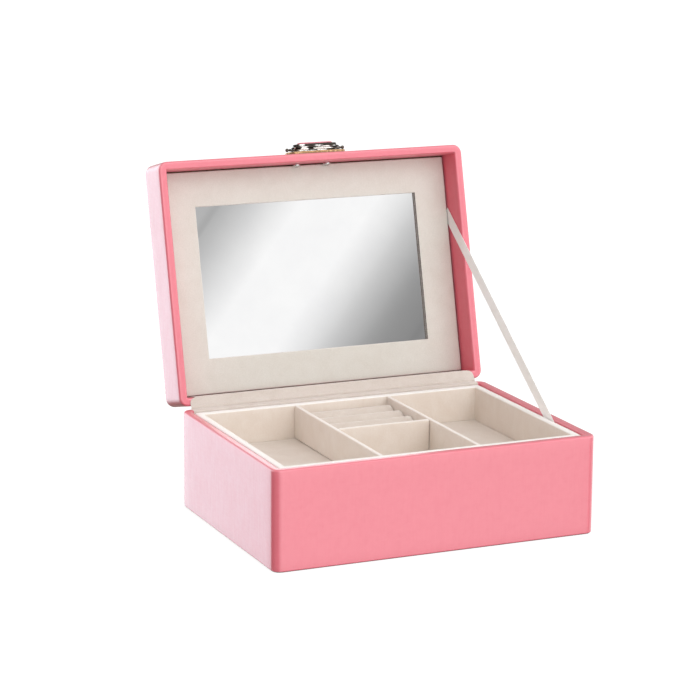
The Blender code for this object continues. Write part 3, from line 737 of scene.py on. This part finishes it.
STRIP_THICK = 0.32 * MM
STRIP_OFF = 0.22 * MM
STRIP_INNER = WALL + 0.45 * MM
STRIP_DEEP = 21 * MM
STRIP_TUCK = 10 * MM
STRIP_RUN = 3.2 * MM
STRIP_BEND = 2.15 * MM
STRIP_TURN = 1.1 * MM
CLOTH_CORNER = 5 * MM
RIBBON_WIDTH, RIBBON_THICK = 10 * MM, 0.36 * MM
RIBBON_FOOT = Vector((-29 * MM, BODY_HIGH.z))
RIBBON_HEAD = (133.5 * MM, 22 * MM)
RIBBON_TUCKS = (14 * MM, 5 * MM)


def strip_path():
    """From the mirror panel, over the lid's back rim and the hinges, to below the tray's edge."""
    pin = Vector((PIVOT.y, PIVOT.z))
    panel = opened(STRIP_INNER, STRIP_DEEP)
    lid_edge = opened(STRIP_INNER, -STRIP_OFF)
    lid_run = opened(STRIP_RUN, -STRIP_OFF)
    body_run = Vector((OUTSIDE.y - STRIP_RUN, BODY_HIGH.z + STRIP_OFF))
    body_edge = Vector((OUTSIDE.y - STRIP_INNER, BODY_HIGH.z + STRIP_OFF))
    end = Vector((OUTSIDE.y - STRIP_INNER, BODY_HIGH.z - STRIP_TUCK))
    path = [panel] + corner_arc(panel, lid_edge, lid_run, STRIP_TURN) + [lid_run]
    path += arc(pin, STRIP_BEND, 112, 196, 12)
    path += [body_run] + corner_arc(body_run, body_edge, end, STRIP_TURN) + [end]
    return path


def make_hinge_strip():
    _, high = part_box("hinge_strip")
    path = spread(strip_path(), 1.2 * MM)
    half = high.x
    columns = 122
    edge_round = 0.5
    normals = []
    for i, p in enumerate(path):
        along = (path[min(i + 1, len(path) - 1)] - path[max(i - 1, 0)]).normalized()
        normals.append(Vector((-along.y, along.x)))
    hinges = [(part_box(f"{s}_hinge_lower_leaf")[0].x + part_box(f"{s}_hinge_lower_leaf")[1].x) / 2
              for s in ("left", "right")]
    bm = bmesh.new()

    def lift(x, p):
        """How far the cloth stands off its path over the hinges, with a soft ripple."""
        near = max(0.0, 1 - (min(abs(x - h) for h in hinges) / (13 * MM)) ** 6)
        around = max(0.0, 1 - ((p - Vector((PIVOT.y, PIVOT.z))).length / (9 * MM)) ** 2)
        ripple = noise.noise(Vector((x / (17 * MM), p.x / (5 * MM), p.y / (5 * MM))))
        return 0.25 * MM * near * around + 0.10 * MM * ripple * around

    def reach(i):
        """Half the width of a row: the ends are rounded off where the cloth leaves the lid's rim."""
        rest = CLOTH_CORNER - max(0.0, path_length(path[:i + 1]) - STRIP_DEEP)
        return half if rest <= 0 else half - CLOTH_CORNER + math.sqrt(CLOTH_CORNER ** 2 - rest ** 2)

    layers = []
    for side in (-1, 1):
        grid = []
        for i, p in enumerate(path):
            row = []
            for k in range(columns + 1):
                x = reach(i) * (2 * k / columns - 1)
                thin = 1 if 0 < k < columns else edge_round
                shift = lift(x, p) + side * STRIP_THICK / 2 * thin
                q = p - normals[i] * shift
                row.append(bm.verts.new((x, q.x, q.y)))
            grid.append(row)
        layers.append(grid)
    bottom, top = layers
    for i in range(len(path) - 1):
        for k in range(columns):
            for grid in layers:
                bm.faces.new((grid[i][k], grid[i][k + 1], grid[i + 1][k + 1], grid[i + 1][k]))
        for k in (0, columns):
            bm.faces.new((bottom[i][k], bottom[i + 1][k], top[i + 1][k], top[i][k]))
    for i in (0, len(path) - 1):
        for k in range(columns):
            bm.faces.new((bottom[i][k], top[i][k], top[i][k + 1], bottom[i][k + 1]))
    item = piece("hinge_strip_velvet", bm, STRIP_VELVET, replaces=["hinge_strip"], sharp=60)
    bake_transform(item)


def make_ribbon_stay():
    """A satin ribbon glued inside the body and behind the mirror panel, drawn taut."""
    low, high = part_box("ribbon_stay")
    x = (low.x + high.x) / 2
    head = opened(*RIBBON_HEAD)
    along = (head - RIBBON_FOOT).normalized()
    across = Vector((-along.y, along.x))
    start, end = RIBBON_FOOT - along * RIBBON_TUCKS[0], head + along * RIBBON_TUCKS[1]
    length = (end - start).length
    rows, columns = 96, 10
    bm = bmesh.new()
    threads = bm.loops.layers.uv.new("threads")
    flat = {}

    def vertex(i, k, side):
        v, u = i / rows, k / columns
        point = start + along * length * v + across * RIBBON_WIDTH * (u - 0.5)
        selvedge = 0.75 if k in (0, columns) else 1.0
        belly = 0.08 * MM * math.sin(math.pi * v) * noise.noise(Vector((v * 6, u * 1.5, 3.1)))
        made = bm.verts.new((x + side * RIBBON_THICK / 2 * selvedge + belly, point.x, point.y))
        flat[made] = (RIBBON_WIDTH * u, length * v)
        return made

    layers = [[[vertex(i, k, side) for k in range(columns + 1)] for i in range(rows + 1)]
              for side in (-1, 1)]
    back, front = layers
    for i in range(rows):
        for k in range(columns):
            for grid in layers:
                bm.faces.new((grid[i][k], grid[i][k + 1], grid[i + 1][k + 1], grid[i + 1][k]))
        for k in (0, columns):
            bm.faces.new((back[i][k], back[i + 1][k], front[i + 1][k], front[i][k]))
    for i in (0, rows):
        for k in range(columns):
            bm.faces.new((back[i][k], front[i][k], front[i][k + 1], back[i][k + 1]))
    for face in bm.faces:
        for loop in face.loops:
            loop[threads].uv = flat[loop.vert]
    item = piece("ribbon_stay_satin", bm, RIBBON, replaces=["ribbon_stay"], sharp=60)
    item.visible_glossy = False
    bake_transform(item)


make_hinge_strip()
make_ribbon_stay()

# ---------------------------------------------------------------- clasp ornament

CAST_SHARP = 50
CLASP = closed_box("clasp_plate")
CLASP_MIDDLE = (CLASP[0] + CLASP[1]) / 2
FACING = TO_OPEN @ Matrix(((1, 0, 0, CLASP_MIDDLE.x), (0, 0, -1, LID_LOW.y),
                           (0, 1, 0, CLASP_MIDDLE.z), (0, 0, 0, 1)))


def standoffs(name):
    """How far a clasp layer's near and far faces stand in front of the lid."""
    low, high = closed_box(name)
    return LID_LOW.y - high.y, LID_LOW.y - low.y


def oval_layer(name, profile, finish):
    """Carries (inset, standoff) points round the layer's oval; both ends are closed."""
    low, high = closed_box(name)
    half = Vector(((high.x - low.x) / 2, (high.z - low.z) / 2))
    bm = sweep(half, half.y, profile, closed=False, corner_steps=12, side_steps=10)
    piece(f"{name}_cast", bm, finish, "lid", place=FACING, replaces=[name], sharp=CAST_SHARP)


def make_clasp():
    near, far = standoffs("clasp_plate")
    edge = 0.45 * MM
    profile = [(1.2 * MM, near), (0.5 * MM, near)] + arc((edge, near + edge), edge, 250, 180, 4)
    profile += arc((edge + 0.1 * MM, far - edge), edge + 0.1 * MM, 180, 100, 5)
    profile += [(1.9 * MM, far), (2.2 * MM, far - 0.25 * MM), (4.0 * MM, far - 0.25 * MM)]
    oval_layer("clasp_plate", profile, GOLD)

    near, far = standoffs("clasp_body")
    step, first = 1.9 * MM, near + 3.8 * MM
    profile = [(0.9 * MM, near), (0.3 * MM, near), (0.3 * MM, near + 0.5 * MM), (1.0 * MM, near + 0.9 * MM)]
    profile += arc((0.65 * MM, near + 1.5 * MM), 0.65 * MM, 240, 120, 7)
    profile += [(1.0 * MM, near + 2.25 * MM)]
    profile += arc((0.75 * MM, first - 0.8 * MM), 0.65 * MM, 225, 95, 7)
    profile += [(step - 0.3 * MM, first - 0.2 * MM), (step + 0.2 * MM, first)]
    profile += arc((step + 0.8 * MM, far - 0.8 * MM), 0.8 * MM, 180, 95, 6)
    profile += [(step + 1.6 * MM, far), (step + 2.8 * MM, far)]
    oval_layer("clasp_body", profile, CHROME)

    near, far = standoffs("clasp_insert")
    profile = [(0.0, near), (0.0, near + 0.2 * MM)]
    profile += [(2.2 * MM * (1 - math.cos(math.radians(a))),
                 near + 0.2 * MM + (far - near - 0.2 * MM) * math.sin(math.radians(a)))
                for a in range(12, 91, 13)]
    oval_layer("clasp_insert", profile, LEATHER)

    for side in ("left", "right"):
        name = f"clasp_{side}_bead"
        low, high = closed_box(name)
        near, far = standoffs(name)
        radius, length = (far - near) / 2, high.x - low.x
        stem = 0.45 * radius
        profile = [(0.05 * MM, -radius)]
        profile += [(radius * math.cos(math.radians(a)), radius * math.sin(math.radians(a)))
                    for a in range(-84, 61, 12)]
        profile += [(stem, 0.95 * radius), (stem, 1.25 * radius), (0.75 * radius, 1.35 * radius),
                    (0.75 * radius, length - radius)]
        sign = -1 if side == "left" else 1
        end = (high.x - radius if sign > 0 else low.x + radius) - CLASP_MIDDLE.x
        place = (FACING @ Matrix.Translation((end, 0, near + radius))
                 @ Matrix.Rotation(-sign * math.pi / 2, 4, "Y"))
        piece(f"{name}_cast", turned(profile), BLACK_NICKEL, "lid", place=place,
              replaces=[name], sharp=CAST_SHARP)
        make_clasp_screw(f"clasp_{side}_screw")


def make_clasp_screw(name):
    """A domed, cross-recessed screw that holds the ornament from inside the lid."""
    low, high = closed_box(name)
    radius = (high.x - low.x) / 2
    shank = 1.2 * MM
    seat = INSIDE.y
    depth = high.y + INSIDE.y
    flank = 0.9 * MM
    crown = depth - GAP - flank
    dome = [(radius * math.cos(math.radians(a)), flank + crown * math.sin(math.radians(a)))
            for a in range(0, 86, 12)]
    tip = low.y + INSIDE.y + GAP
    profile = [(0.3 * MM, tip), (shank, tip + 0.5 * MM), (shank, 0.0), (radius * 0.96, 0.0)]
    profile += dome + [(0.05 * MM, dome[-1][1])]
    bm = turned(profile)
    centre = (low + high) / 2
    place = Matrix.Translation((centre.x, -seat + GAP, centre.z)) @ Matrix.Rotation(-math.pi / 2, 4, "X")
    item = piece(name + "_turned", bm, STEEL, replaces=[name], sharp=35)
    slot_low, slot_high = depth - 1.2 * MM, depth + MM
    long, wide = 1.5 * MM, 0.30 * MM
    cut_blocks(item, [((-long, -wide, slot_low), (long, wide, slot_high)),
                      ((-wide, -long, slot_low), (wide, long, slot_high))])
    item.data.transform(TO_OPEN @ place)
    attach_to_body(item, "lid")


make_clasp()

# ---------------------------------------------------------------- finishes of the nodes that stay


def repaint():
    """Gives every CAD node that still shows its node material."""
    for name, item in frame["nodes"].items():
        if item.hide_render:
            continue
        if name == "mirror_glass":
            finish = MIRROR
        elif name == "underside_sheet":
            finish = UNDERSIDE
        elif "_hinge_" in name:
            finish = BRASS
        else:
            finish = BOARD
        item.data.materials.clear()
        item.data.materials.append(finish)


repaint()

# ---------------------------------------------------------------- studio

CAMERA_AZIMUTH, CAMERA_ELEVATION, CAMERA_ROLL = (math.radians(a) for a in (-23.89, 12.90, 0.39))
CAMERA_PLACE = Vector((-0.8031, -1.7454, 0.5723))
CAMERA_LENS = 134.5


def place_camera():
    back = Vector((math.sin(CAMERA_AZIMUTH) * math.cos(CAMERA_ELEVATION),
                   -math.cos(CAMERA_AZIMUTH) * math.cos(CAMERA_ELEVATION), math.sin(CAMERA_ELEVATION)))
    right = (-back).cross(Vector((0, 0, 1))).normalized()
    up = right.cross(-back)
    right, up = (right * math.cos(CAMERA_ROLL) + up * math.sin(CAMERA_ROLL),
                 up * math.cos(CAMERA_ROLL) - right * math.sin(CAMERA_ROLL))
    data = bpy.data.cameras.new("camera")
    data.lens, data.sensor_width = CAMERA_LENS, 36
    item = bpy.data.objects.new("camera", data)
    item.matrix_world = Matrix.LocRotScale(
        CAMERA_PLACE, Matrix((right, up, back)).transposed().to_quaternion(), None)
    bpy.context.scene.collection.objects.link(item)
    bpy.context.scene.camera = item


def make_ground():
    """A wide pale floor that only the camera sees; the world lights the case from below instead."""
    bm = bmesh.new()
    bmesh.ops.create_circle(bm, cap_ends=True, segments=64, radius=14)
    bmesh.ops.translate(bm, verts=bm.verts, vec=(0, 0, -0.1 * MM))
    mesh = bpy.data.meshes.new("floor")
    bm.to_mesh(mesh)
    bm.free()
    mesh.materials.append(make_floor())
    item = bpy.data.objects.new("floor", mesh)
    item.visible_diffuse = item.visible_glossy = item.visible_shadow = False
    bpy.context.scene.collection.objects.link(item)


# Each lamp of the light tent: the direction it lies in, the angles in degrees from that
# direction where it is full and where it has faded out, its brightness and its tint.
DAYLIGHT, COOL = (0.98, 1.00, 1.03, 1), (0.85, 1.00, 1.09, 1)
TENT = [
    ((0.30, -0.35, 1.00), 10, 75, 0.80, DAYLIGHT),
    ((0.20, -0.93, 0.18), 20, 62, 1.62, DAYLIGHT),
    ((-0.31, 0.93, -0.05), 6, 31, 2.10, COOL),
    ((0.40, 0.90, 0.25), 20, 70, 0.25, DAYLIGHT),
    ((-0.75, 0.50, 0.45), 10, 35, 1.9, DAYLIGHT),
    ((0.95, 0.25, -0.05), 10, 45, 0.9, DAYLIGHT),
    ((-0.89, -0.40, -0.10), 5, 40, 0.30, DAYLIGHT),
]
TENT_SHADE = (0.165, 0.125, 0.095, 1)
# What the open mirror shows the camera: the direction it reflects, and a soft diagonal band of
# light, as brightness at distances across the band in units of the mirror's own spread.
MIRROR_VIEW = Vector((0.384, -0.8885, 0.2515)).normalized()
BAND_SLANT = (25.8, -21.4)
BAND_REACH = 1.6
BAND = [(-1.45, 0.49), (-0.55, 1.04), (0.05, 1.04), (0.57, 0.72), (1.00, 0.405), (1.47, 0.265)]


def light_world():
    world = bpy.data.worlds.new("light_tent")
    world.use_nodes = True
    tree = world.node_tree
    tree.nodes.clear()
    where = node(tree, "TexCoord").outputs["Generated"]

    def towards(direction, full, faded, strength):
        dot = node(tree, "VectorMath", {0: where, 1: Vector(direction).normalized()},
                   operation="DOT_PRODUCT").outputs["Value"]
        made = node(tree, "MapRange", {"Value": dot, "From Min": math.cos(math.radians(faded)),
                                       "From Max": math.cos(math.radians(full)), "To Max": strength},
                    interpolation_type="SMOOTHSTEP")
        return made.outputs["Result"]

    tent = TENT_SHADE
    for direction, full, faded, strength, tint in TENT:
        lamp = mix_colour(tree, 1.0, towards(direction, full, faded, strength), tint, blend="MULTIPLY")
        tent = mix_colour(tree, 1.0, lamp, tent, blend="ADD")
    axes = node(tree, "SeparateXYZ", {"Vector": where})
    aside = math_node(tree, "SUBTRACT", axes.outputs["X"], MIRROR_VIEW.x)
    above = math_node(tree, "SUBTRACT", axes.outputs["Z"], MIRROR_VIEW.z)
    lean = math_node(tree, "MULTIPLY", aside, BAND_SLANT[0])
    rise = math_node(tree, "MULTIPLY", above, BAND_SLANT[1])
    place = ramp(tree, math_node(tree, "ADD", lean, rise), -BAND_REACH, BAND_REACH)
    band = node(tree, "ValToRGB", {"Fac": place})
    stops = band.color_ramp
    stops.interpolation = "CARDINAL"
    while len(stops.elements) < len(BAND):
        stops.elements.new(0.5)
    for stop, (at, bright) in zip(stops.elements, BAND):
        stop.position = (at + BAND_REACH) / (2 * BAND_REACH)
        stop.color = (bright, bright, bright, 1)
    grey = node(tree, "RGBToBW", {"Color": band.outputs["Color"]}).outputs["Val"]
    screen = towards(MIRROR_VIEW, 8, 13, 1.0)
    glow = node(tree, "Background", {"Color": mix_colour(tree, screen, tent, grey), "Strength": 1.0})
    node(tree, "OutputWorld", {"Surface": glow.outputs[0]})
    bpy.context.scene.world = world


place_camera()
make_ground()
light_world()
bpy.context.scene.view_settings.view_transform = "Standard"
